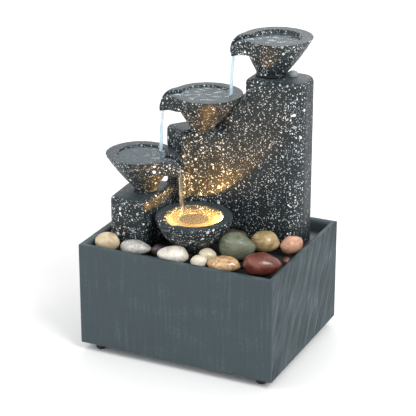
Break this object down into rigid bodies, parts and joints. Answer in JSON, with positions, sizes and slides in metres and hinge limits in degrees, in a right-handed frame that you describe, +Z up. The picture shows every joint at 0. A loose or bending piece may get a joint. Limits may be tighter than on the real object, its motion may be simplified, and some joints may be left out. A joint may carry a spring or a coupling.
{
  "type": "tabletop water fountain",
  "caption": "Tabletop fountain: slate-look basin with river pebbles, speckled stone columns, stepped pouring bowls and a lit bowl, fed by a small hidden pump.",
  "frame": {"origin": "middle of the footprint on the surface the rubber feet stand on", "axes": "+Z up (the longest extent), +X along the long side of the basin towards the tall tower, -Y towards the front; metres"},
  "size_m": [0.18, 0.143, 0.269],
  "materials": {
    "black_plastic": "matt moulded",
    "black_rubber": "matt",
    "board": "white solder mask",
    "ceramic_shaft": "polished",
    "clear": "clear",
    "clear_tube": "translucent vinyl",
    "copper": "enamelled winding",
    "dial_plastic": "matt moulded",
    "epoxy": "cast",
    "ferrite": "sintered",
    "foam": "open-cell sponge",
    "grey_plastic": "matt moulded",
    "grey_rubber": "matt",
    "led": "warm diode",
    "slate": "matt slate-look resin with carved relief",
    "steel": "laminated",
    "stone_beige": "polished river pebble",
    "stone_cream": "polished river pebble",
    "stone_cream_small": "polished river pebble",
    "stone_dark_flat": "polished river pebble",
    "stone_green_grey": "polished river pebble",
    "stone_grey_white": "polished river pebble",
    "stone_orange": "polished river pebble",
    "stone_pink": "polished river pebble",
    "stone_purple_small": "polished river pebble",
    "stone_red_brown": "polished river pebble",
    "stone_red_small": "polished river pebble",
    "stone_white": "polished river pebble",
    "stone_yellow": "polished river pebble",
    "terrazzo": "satin speckled stone-look resin",
    "white_plastic": "matt moulded"
  },
  "bodies": {
    "basin": {"basin_shell": "slate", "foot_1": "black_rubber", "foot_2": "black_rubber", "foot_3": "black_rubber", "foot_4": "black_rubber", "cable_grommet": "black_rubber", "pump_motor_housing": "black_plastic", "pump_stator_core": "steel", "pump_coil": "copper", "pump_potting": "epoxy", "pump_cable_gland": "black_rubber", "pump_volute_cover": "black_plastic", "pump_outlet_nozzle": "grey_plastic", "rotor_shaft": "ceramic_shaft", "shaft_bush_front": "black_rubber", "shaft_bush_rear": "black_rubber", "pump_suction_foot_1": "black_rubber", "pump_suction_foot_2": "black_rubber", "pump_suction_foot_3": "black_rubber", "pump_suction_foot_4": "black_rubber"},
    "rotor": {"rotor_magnet": "ferrite", "impeller": "white_plastic"},
    "intake": {"pump_intake_cover": "black_plastic", "intake_foam": "foam"},
    "dial": {"flow_dial": "dial_plastic"},
    "tray": {"stone_tray": "black_plastic"},
    "sculpture": {"tower_column": "terrazzo", "middle_column": "terrazzo", "left_column": "terrazzo", "top_bowl": "terrazzo", "middle_bowl": "terrazzo", "left_bowl": "terrazzo", "light_bowl": "terrazzo", "inlet_fitting": "black_plastic", "riser_tube": "clear_tube", "tower_vent_plug": "grey_rubber", "lamp_housing": "black_plastic", "lamp_board": "board", "lamp_leds": "led", "lamp_lens": "clear", "lamp_seal": "black_rubber", "lamp_potting": "epoxy", "lamp_cable_gland": "black_rubber"},
    "cover": {"rear_cover": "terrazzo"},
    "pebble_beige": {"pebble_beige": "stone_beige"},
    "pebble_cream": {"pebble_cream": "stone_cream"},
    "pebble_cream_small": {"pebble_cream_small": "stone_cream_small"},
    "pebble_dark_flat": {"pebble_dark_flat": "stone_dark_flat"},
    "pebble_green_grey": {"pebble_green_grey": "stone_green_grey"},
    "pebble_grey_white": {"pebble_grey_white": "stone_grey_white"},
    "pebble_orange": {"pebble_orange": "stone_orange"},
    "pebble_pink": {"pebble_pink": "stone_pink"},
    "pebble_purple_small": {"pebble_purple_small": "stone_purple_small"},
    "pebble_red_brown": {"pebble_red_brown": "stone_red_brown"},
    "pebble_red_small": {"pebble_red_small": "stone_red_small"},
    "pebble_white": {"pebble_white": "stone_white"},
    "pebble_yellow": {"pebble_yellow": "stone_yellow"}
  },
  "joints": [
    {"name": "tray_lift", "type": "slide", "parent": "basin", "child": "tray", "axis": [0, 0, 1], "range_m": [0, 0.06]},
    {"name": "sculpture_lift", "type": "slide", "parent": "tray", "child": "sculpture", "axis": [0, 0, 1], "range_m": [0, 0.06]},
    {"name": "rear_cover_pull", "type": "slide", "parent": "sculpture", "child": "cover", "axis": [0, 1, 0], "range_m": [0, 0.03]},
    {"name": "rotor_spin", "type": "hinge", "parent": "basin", "child": "rotor", "pos_m": [0.03926, 0.03082, 0.035], "axis": [1, 0, 0], "continuous": true},
    {"name": "intake_pull", "type": "slide", "parent": "basin", "child": "intake", "axis": [-1, 0, 0], "range_m": [0, 0.03]},
    {"name": "flow_dial_turn", "type": "hinge", "parent": "intake", "child": "dial", "pos_m": [0.01926, 0.03082, 0.035], "axis": [1, 0, 0], "range_deg": [0, 90]},
    {"name": "pebble_beige_lift", "type": "slide", "parent": "tray", "child": "pebble_beige", "axis": [0, 0, 1], "range_m": [0, 0.03]},
    {"name": "pebble_cream_lift", "type": "slide", "parent": "tray", "child": "pebble_cream", "axis": [0.0885, -0.2432, 0.9659], "range_m": [0, 0.03]},
    {"name": "pebble_cream_small_lift", "type": "slide", "parent": "tray", "child": "pebble_cream_small", "axis": [0.6209, -0.1664, 0.766], "range_m": [0, 0.003]},
    {"name": "pebble_dark_flat_lift", "type": "slide", "parent": "tray", "child": "pebble_dark_flat", "axis": [0.2588, 0, 0.9659], "range_m": [0, 0.03]},
    {"name": "pebble_green_grey_lift", "type": "slide", "parent": "tray", "child": "pebble_green_grey", "axis": [0.5, 0, 0.866], "range_m": [0, 0.03]},
    {"name": "pebble_grey_white_lift", "type": "slide", "parent": "tray", "child": "pebble_grey_white", "axis": [0, 0, 1], "range_m": [0, 0.03]},
    {"name": "pebble_orange_lift", "type": "slide", "parent": "tray", "child": "pebble_orange", "axis": [0, 0, 1], "range_m": [0, 0.03]},
    {"name": "pebble_pink_lift", "type": "slide", "parent": "tray", "child": "pebble_pink", "axis": [0, 0, 1], "range_m": [0, 0.03]},
    {"name": "pebble_purple_small_lift", "type": "slide", "parent": "tray", "child": "pebble_purple_small", "axis": [0, -0.5, 0.866], "range_m": [0, 0.03]},
    {"name": "pebble_red_brown_lift", "type": "slide", "parent": "tray", "child": "pebble_red_brown", "axis": [0, 0, 1], "range_m": [0, 0.03]},
    {"name": "pebble_red_small_lift", "type": "slide", "parent": "tray", "child": "pebble_red_small", "axis": [0, 0, 1], "range_m": [0, 0.03]},
    {"name": "pebble_white_lift", "type": "slide", "parent": "tray", "child": "pebble_white", "axis": [-0.2198, -0.604, 0.766], "range_m": [0, 0.03]},
    {"name": "pebble_yellow_lift", "type": "slide", "parent": "tray", "child": "pebble_yellow", "axis": [0, 0, 1], "range_m": [0, 0.03]}
  ]
}
